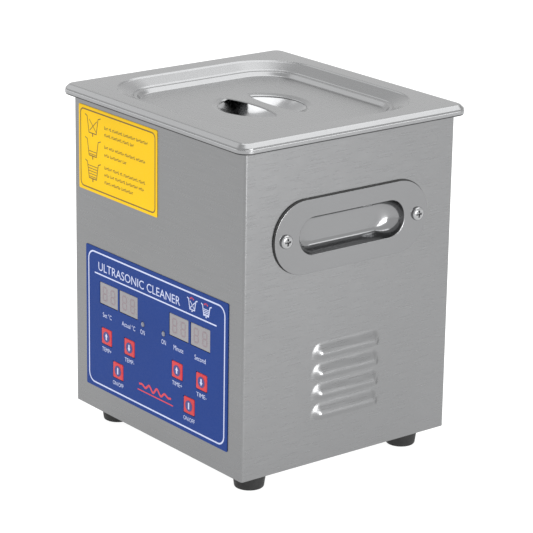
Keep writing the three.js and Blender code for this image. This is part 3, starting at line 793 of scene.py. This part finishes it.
def screw_head(radius, height):
    """Pan head with a cross recess, as a polar grid whose height dips along the cross."""
    head = Shape()
    outline = [(1.0, 0.0), (1.0, 0.25), (0.985, 0.45), (0.93, 0.68), (0.84, 0.83), (0.74, 0.92)]
    outline += [(0.66, 0.965)]
    outline += [(0.6 - 0.05 * i, 0.975 + 0.002 * i) for i in range(12)]
    recess = 0.62  # its depth as a share of the head's height
    loops = []
    for r, h in outline:
        loop = []
        for x, y in arc(0, 0, max(r, 0.01), 0, 356.25, 95):
            dip = max(cross_arm(x, y), cross_arm(y, x))
            loop.append((x * radius, y * radius, height * (h - recess * dip)))
        loops.append(loop)
    head.strips(loops)
    head.add(loops[-1], [tuple(range(len(loops[-1])))])
    return head


def cross_arm(along, across):
    """How deep one arm of the cross recess is at a point, from 0 to 1."""
    wide = 1 - smooth(0.09, 0.15, abs(across))
    long = 1 - smooth(0.4, 0.56, abs(along))
    return wide * long


def screws(steel):
    """A head in place of each CAD screw, facing the way its screw is driven from."""
    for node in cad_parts:
        if "_screw_" not in node:
            continue
        back = node_box(node)[1][1]
        x, y, z = node_centre(node)
        if node.startswith("foot"):
            flip = Matrix.Rotation(math.pi, 4, "X")
            place = Matrix.Translation((x, y, FOOT_SOLE - SCREW_GAP)) @ flip
            shape = screw_head(3.8, 2.2)
        elif node.startswith("inlet"):
            height = 1.8
            place = face_place(180, HALF_D, -x, z, back - HALF_D - height)
            shape = screw_head(3.2, height)
        else:
            turn = 90 if x > 0 else 270
            towards = 1 if x > 0 else -1
            place = face_place(turn, HALF_W, towards * y, z, CUP_OUT + SCREW_GAP)
            shape = screw_head(4.0, 2.0)
        piece(f"{node}_head", shape, [steel], "cabinet", "bright_screw", [node], place=place)


def feet(rubber):
    """Tapered rubber feet with a rounded sole and a recess for the screw."""
    top = CASE_BOTTOM - 0.1
    hole, recess = 2.3, 4.4
    profile = [(hole, FOOT_SOLE, 0), (recess, FOOT_SOLE, 0.3), (recess, 0, 0.6)]
    profile += [(8.6, 0, 0.9), (9.6, 7, 0.8), (9.8, top, 0.4), (hole, top, 0)]
    profile = filleted(profile)
    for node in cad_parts:
        if node.startswith("foot_") and "screw" not in node:
            x, y, _ = node_centre(node)
            shape = Shape()
            shape.strips(turned(profile, 48))
            place = Matrix.Translation((x, y, 0))
            piece(f"{node}_rubber", shape, [rubber], "cabinet", "foot_rubber", [node], place=place)


# ---- Front panel ----


def letters(shape, text, u, v, width, height, w, kind=0):
    """Flat lettering that fills a box whose lower left corner is at (u, v)."""
    curve = bpy.data.curves.new("lettering", "FONT")
    curve.body = text
    curve.resolution_u = 3
    holder = bpy.data.objects.new("lettering", curve)
    bpy.context.scene.collection.objects.link(holder)
    graph = bpy.context.evaluated_depsgraph_get()
    flat = bpy.data.meshes.new_from_object(holder.evaluated_get(graph))
    xs = [p.co.x for p in flat.vertices]
    ys = [p.co.y for p in flat.vertices]
    left, wide = min(xs), max(xs) - min(xs)
    foot, high = min(ys), max(ys) - min(ys)
    points = [(u + (x - left) / wide * width, v + (y - foot) / high * height, w) for x, y in zip(xs, ys)]
    shape.add(points, [tuple(face.vertices) for face in flat.polygons], kind)
    bpy.data.objects.remove(holder)
    bpy.data.curves.remove(curve)
    bpy.data.meshes.remove(flat)


def panel_plate(blue):
    low, high = node_box("control_panel")
    u, v = uv_of("control_panel")
    hx, hy = (high[0] - low[0]) / 2, (high[2] - low[2]) / 2
    plate = Shape()
    edge = [(0, 0.05, 0), (0, PANEL_T, 0.15), (0.6, PANEL_T, 0)]
    loops = stacked(hx, hy, 0.8, filleted(edge), 3)
    plate.strips([[(x + u, y + v, w) for x, y, w in loop] for loop in loops])
    windows = window_loops(WINDOW_GAP)
    plate.flat([(p[0] + u, p[1] + v) for p in loops[-1]], windows, PANEL_T)
    for window in windows:
        plate.strips([at_height(window, PANEL_T), at_height(window, 0.05)])
    piece("panel_film", plate, [blue], "cabinet", "panel_blue", ["control_panel"], place=on_front())


def tank_icon(shape, u, v, size, line, w, kind, cross=False, waves=0):
    """Pictogram of a tank: two leaning walls with turned rims, a floor and a short foot."""
    outline = [(-1, 0.72), (-0.72, 0.62), (-0.5, -0.55), (0.42, -0.55), (0.66, 0.6), (0.98, 0.72)]
    strokes = [(outline, 1), ([(-0.04, -0.55), (-0.04, -0.8)], 1.6)]
    if cross:
        strokes += [([(-0.45, 0.42), (0.42, -0.4)], 0.8), ([(-0.42, -0.4), (0.5, 0.42)], 0.8)]
    for i in range(waves):
        y = -0.42 + 0.2 * i
        half = 0.42 + 0.05 * i
        strokes.append(([(-0.05 - half, y), (-0.05 + half, y)], 0.7))
    for points, share in strokes:
        shape.ribbon([(u + x * size, v + y * size) for x, y in points], line * share, w, kind)


def panel_print(white, red):
    """Border, title, legends, tank icons and a plain wave mark, in the film's two inks."""
    ink = Shape()
    w = PANEL_T + INK
    base = CASE_BOTTOM
    border(ink, w)
    letters(ink, "ULTRASONIC CLEANER", -57.9, base + 89.2, 82.4, 5.2, w)
    ink.ribbon([(-61.8, base + 86.9), (59.2, base + 86.9)], 0.85, w)
    panel_icons(ink, base, w)
    display_legends(ink, base, w)
    key_legends(ink, w)
    wave_mark(ink, base, w)
    piece("panel_print", ink, [white, red], "cabinet", "panel_blue", place=on_front())


def border(ink, w):
    inset, radius, line = 2.4, 6, 0.95
    low, high = node_box("control_panel")
    hx, hy = (high[0] - low[0]) / 2 - inset, (high[2] - low[2]) / 2 - inset
    u, v = uv_of("control_panel")
    ink.strips([at_height(moved(rounded(hx - by, hy - by, radius - by), u, v), w) for by in (0, line)])


def panel_icons(ink, base, w):
    """Two tanks after the title, one crossed and one filled, with three red dots over each."""
    size, line, dot = 5.0, 0.7, 0.55
    for x, cross, waves in ((36.3, True, 0), (49.6, False, 4)):
        tank_icon(ink, x, base + 92.9, size, line, w, 0, cross, waves)
        for step in (-1, 0, 1):
            lift = 0.5 * (step == 0)
            ink.flat(moved(arc(0, 0, dot, 0, 330, 11), x + 1.4 * step - 0.5, base + 96.6 + lift), (), w, 1)


def display_legends(ink, base, w):
    for text, middle, width, z, height in (
        ("Set °C", -48.8, 9.2, 61.2, 3.0),
        ("Actual °C", -26.8, 13.6, 61.2, 3.0),
        ("ON", -12.5, 4.4, 61.4, 2.9),
        ("ON", 8.6, 4.4, 61.4, 2.9),
        ("Minute", 23.1, 9.4, 61.2, 3.0),
        ("Second", 44.0, 10.6, 61.2, 3.0),
    ):
        letters(ink, text, middle - width / 2, base + z, width, height, w)


def key_legends(ink, w):
    """One word under each key."""
    drop, height = 9.6, 2.5
    for node, text, width in (
        ("key_temperature_up", "TEMP+", 9.6),
        ("key_temperature_down", "TEMP-", 9.6),
        ("key_heater_power", "ON/OFF", 11.0),
        ("key_time_up", "TIME+", 9.6),
        ("key_time_down", "TIME-", 9.6),
        ("key_timer_power", "ON/OFF", 11.0),
    ):
        x, z = uv_of(node)
        letters(ink, text, x - width / 2, z - drop, width, height, w)


def wave_mark(ink, base, w):
    """Four waves that swell in the middle, over a straight line."""
    wide, tall, steps = 32, 1.8, 40
    wave = []
    for i in range(steps + 1):
        t = i / steps
        swell = tall * math.sin(math.pi * t)
        wave.append((wide * (t - 0.5), base + 30 + swell * math.sin(t * math.pi * 8)))
    ink.ribbon(wave, 1.3, w, 1)
    ink.ribbon([(-17.5, base + 26.2), (18, base + 26.2)], 0.75, w, 1)


def segment_bar(shape, u, v, length, upright, w, kind):
    """One bar of a seven-segment digit, pointed at both ends."""
    half, thick = length / 2, 0.5
    flat = half - thick
    bar = [(-half, 0), (-flat, thick), (flat, thick), (half, 0), (flat, -thick), (-flat, -thick)]
    if upright:
        bar = [(y, x) for x, y in bar]
    shape.flat(moved(bar, u, v), (), w, kind)


def displays(window, segment):
    """Smoked windows with two unlit digits behind each."""
    face = PANEL_T - 0.2
    w = face + INK
    gap = 0.3  # between the ends of two bars
    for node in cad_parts:
        if not node.startswith("display_"):
            continue
        shape = Shape()
        edge = [(0, -2), (0, face - 0.15), (0.15, face), (0.5, face)]
        loops = stacked(DISPLAY_HX, DISPLAY_HY, 0.4, edge, 2)
        shape.strips(loops)
        shape.flat([p[:2] for p in loops[-1]], (), face)
        for middle in (-DIGIT_X, DIGIT_X):
            for row in (-1, 0, 1):
                segment_bar(shape, middle, row * DIGIT_H, DIGIT_W - gap, False, w, 1)
            for side in (-1, 1):
                for half in (-1, 1):
                    u, v = middle + side * DIGIT_W / 2, half * DIGIT_H / 2
                    segment_bar(shape, u, v, DIGIT_H - gap, True, w, 1)
        place = on_front(*uv_of(node))
        piece(f"{node}_window", shape, [window, segment], "cabinet", "display_grey", [node], place=place)


def lamps(lens):
    """Domed lamps that stand proud of the panel."""
    profile = [(LAMP_R, -2.0), (LAMP_R, 0.4), (1.45, 0.7), (1.2, 0.97)]
    profile += [(0.8, 1.12), (0.4, 1.18), (0.0, 1.2)]
    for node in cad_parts:
        if node.endswith("_lamp"):
            shape = Shape()
            shape.strips(turned(profile, 32))
            place = on_front(*uv_of(node))
            piece(f"{node}_lens", shape, [lens], "cabinet", "lamp_grey", [node], place=place)


def key_caps(red, blue, white):
    """Crowned caps: a blue disc with an arrow, or with a bar on the two power keys."""
    arrow = [(0, 2.4), (1.35, 0.2), (0.62, 0.2), (0.62, -1.9), (-0.62, -1.9), (-0.62, 0.2), (-1.35, 0.2)]
    bar = rounded(0.62, 2.1, 0.4, 3)
    disc = 3.3
    top = PANEL_T + KEY_PROUD - KEY_CROWN
    profile = [(0, -1.3), (0, top - 0.45), (0.06, top - 0.22), (0.2, top - 0.07), (0.45, top)]
    profile += [(0.45 + 4.3 * t, top + KEY_CROWN * (1 - (1 - t) ** 2)) for t in (0.1, 0.25, 0.45, 0.7, 1.0)]
    face = top + KEY_CROWN + INK
    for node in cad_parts:
        if not node.startswith("key_"):
            continue
        cap = Shape()
        loops = stacked(KEY_HX, KEY_HY, 0.9, profile, 4)
        cap.strips(loops)
        cap.add(loops[-1], [tuple(range(len(loops[-1])))])
        cap.flat(arc(0, 0, disc, 0, 350, 35), (), face, 1)
        mark = bar if node.endswith("power") else arrow
        if node.endswith("down"):
            mark = [(x, -y) for x, y in mark]
        cap.flat(mark, (), face + INK, 2)
        place = on_front(*uv_of(node))
        piece(f"{node}_cap", cap, [red, blue, white], node, "key_red", [node], place=place)


def stroke_letter(shape, u, v, turn, w):
    """A mark the size of a small letter: a stem, taller on some turns, and one bar."""
    line, half = 0.42, 0.75
    tall = 1.2 if turn % 3 == 0 else half
    shape.ribbon([(u, v - half), (u, v + tall)], line, w, 1)
    bar = (-0.55, 0.0, 0.55)[turn % 3]
    shape.ribbon([(u, v + bar), (u + 0.85, v + bar)], line, w, 1)


def caution_sign(yellow, olive):
    """Yellow plate with a border, three tank pictograms and rows of strokes that spell nothing."""
    plate = Shape()
    u, v = uv_of("caution_plate")
    edge = [(0, 0.05), (0, 0.2), (0.08, 0.32), (0.3, PLATE_T), (0.8, PLATE_T)]
    loops = stacked(PLATE_HX, PLATE_HY, 0.8, edge, 3)
    plate.strips([[(x + u, y + v, w) for x, y, w in loop] for loop in loops])
    plate.flat([(p[0] + u, p[1] + v) for p in loops[-1]], (), PLATE_T)
    w = PLATE_T + INK
    hx, hy, radius, line = 38.1, 23.9, 3.4, 0.8
    plate.strips([at_height(moved(rounded(hx - by, hy - by, radius - by), u, v), w) for by in (0, line)], 1)
    base = CASE_BOTTOM
    for z, cross, waves in ((176.3, True, 0), (162.5, False, 2), (148.7, False, 5)):
        tank_icon(plate, -63.0, base + z, 8.2, 0.6, w, 1, cross, waves)
    rows = [  # height above the case's bottom, and how many strokes make each group
        (177.5, (3, 2, 8, 9, 9)),
        (173.3, (5, 8, 5, 3)),
        (166.0, (3, 4, 7, 8, 7)),
        (161.2, (4, 9, 3)),
        (153.5, (6, 5, 2, 11, 5)),
        (149.2, (4, 3, 8, 9, 4)),
        (144.7, (5, 7, 9)),
    ]
    pitch, space = 1.3, 0.9
    for z, groups in rows:
        x = -50.9
        for count in groups:
            for i in range(count):
                stroke_letter(plate, x, base + z, i + count, w)
                x += pitch
            x += space
    inks = [yellow, olive]
    piece("caution_sign", plate, inks, "cabinet", "caution_yellow", ["caution_plate"], place=on_front())


# ---- CAD nodes that stay, with their materials ----


def dress(nodes, material, bevel=0.0):
    """Gives CAD nodes a material, and softens their edges."""
    for node in nodes:
        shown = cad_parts[node]
        shown.data.materials.clear()
        shown.data.materials.append(material)
        if bevel:
            soft = shown.modifiers.new("edges", "BEVEL")
            soft.width = bevel * MM
            soft.segments = 2
            soft.limit_method = "ANGLE"
            soft.angle_limit = math.radians(40)


def dress_the_rest():
    switches = [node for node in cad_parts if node.startswith("switch_")]
    dress(["bottom_plate"], zinc_steel(), 0.2)
    dress(["transducer_back_mass", "transducer_bolt"], zinc_steel(), 0.4)
    dress(["rim_seal", "heater_pad"], seal_silicone())
    dress(["power_inlet", "fuse_drawer"], inlet_black(), 0.3)
    dress(["inlet_pin_live", "inlet_pin_neutral", "inlet_pin_earth"], pin_brass(), 0.15)
    dress(switches, switch_black(), 0.15)
    dress(["board_frame"], frame_grey(), 0.3)
    dress(["control_board", "power_board"], board_green(), 0.1)
    dress(["drive_transformer"], ferrite_black(), 0.4)
    dress(["filter_capacitor"], capacitor_yellow(), 0.5)
    dress(["heat_sink", "transducer_horn", "temperature_sensor"], cast_aluminium(), 0.3)
    dress(["piezo_ring_upper", "piezo_ring_lower"], piezo_ceramic(), 0.2)


# ---- Stage, lights and camera ----


def stage_floor():
    mesh = bpy.data.meshes.new("floor")
    half = 8.0
    corners = [(-half, -half, 0), (half, -half, 0), (half, half, 0), (-half, half, 0)]
    mesh.from_pydata(corners, [], [(0, 1, 2, 3)])
    mesh.materials.append(floor_paper())
    floor = bpy.data.objects.new("floor", mesh)
    bpy.context.scene.collection.objects.link(floor)


def softbox(name, direction, distance, size, power):
    """Rectangular area light that faces the middle of the object."""
    data = bpy.data.lights.new(name, "AREA")
    data.shape = "RECTANGLE"
    data.size, data.size_y = size
    data.energy = power
    light = bpy.data.objects.new(name, data)
    towards = Vector(direction).normalized()
    light.location = Vector((0, 0, 0.1)) + towards * distance
    light.rotation_euler = towards.to_track_quat("Z", "Y").to_euler()
    bpy.context.scene.collection.objects.link(light)


def studio_light():
    softbox("light_overhead", (0.0, 0.3, 0.95), 2.2, (2.6, 2.7), 50)
    softbox("light_left", (-0.75, -0.31, 0.59), 1.8, (1.4, 1.0), 4)
    softbox("light_right", (0.9, 0.1, 0.08), 1.2, (0.6, 0.3), 8)
    world = bpy.data.worlds.new("studio")
    world.use_nodes = True
    sky = world.node_tree.nodes["Background"]
    sky.inputs["Color"].default_value = (0.95, 0.95, 0.95, 1)
    sky.inputs["Strength"].default_value = 1.15
    bpy.context.scene.world = world
    bpy.context.scene.view_settings.view_transform = "Standard"


def camera():
    """Long lens, above and to the right of the front, solved from the object's straight edges."""
    azimuth, elevation, roll = (math.radians(a) for a in (51.78, 17.71, 0.88))
    distance, slide_right, slide_up = 1.4658, 0.00382, -0.00734
    data = bpy.data.cameras.new("camera")
    data.lens = 166.68
    data.sensor_width = 36.0
    data.clip_end = 40.0
    level_back = Vector((math.sin(azimuth), -math.cos(azimuth), 0))
    back = level_back * math.cos(elevation) + Vector((0, 0, math.sin(elevation)))
    level = Vector((0, 0, 1)).cross(back).normalized()
    upright = back.cross(level)
    right = level * math.cos(roll) + upright * math.sin(roll)
    up = upright * math.cos(roll) - level * math.sin(roll)
    seen_from = Vector((0, 0, 0.1117)) + right * slide_right + up * slide_up + back * distance
    made = bpy.data.objects.new("camera", data)
    made.matrix_world = Matrix.Translation(seen_from) @ Matrix((right, up, back)).transposed().to_4x4()
    bpy.context.scene.collection.objects.link(made)
    bpy.context.scene.camera = made


def build():
    camera()
    casing_shell()
    tank_shell()
    # dark strip of painted shade under the rim's edge
    rim_shade_strip(seal_silicone())
    lid_shell()
    bowl_shell()
    cup, rubber = cup_steel(), foot_rubber()
    for side, turn in (("right", 90), ("left", 270)):
        handle_cup(side, turn, cup, rubber)
    screws(screw_steel())
    feet(rubber)
    white, red = print_white(), print_red()
    panel_plate(panel_blue())
    panel_print(white, red)
    displays(display_window(), display_segment())
    lamps(lamp_lens())
    key_caps(key_red(), print_blue(), white)
    caution_sign(caution_yellow(), print_olive())
    dress_the_rest()
    stage_floor()
    studio_light()


build()
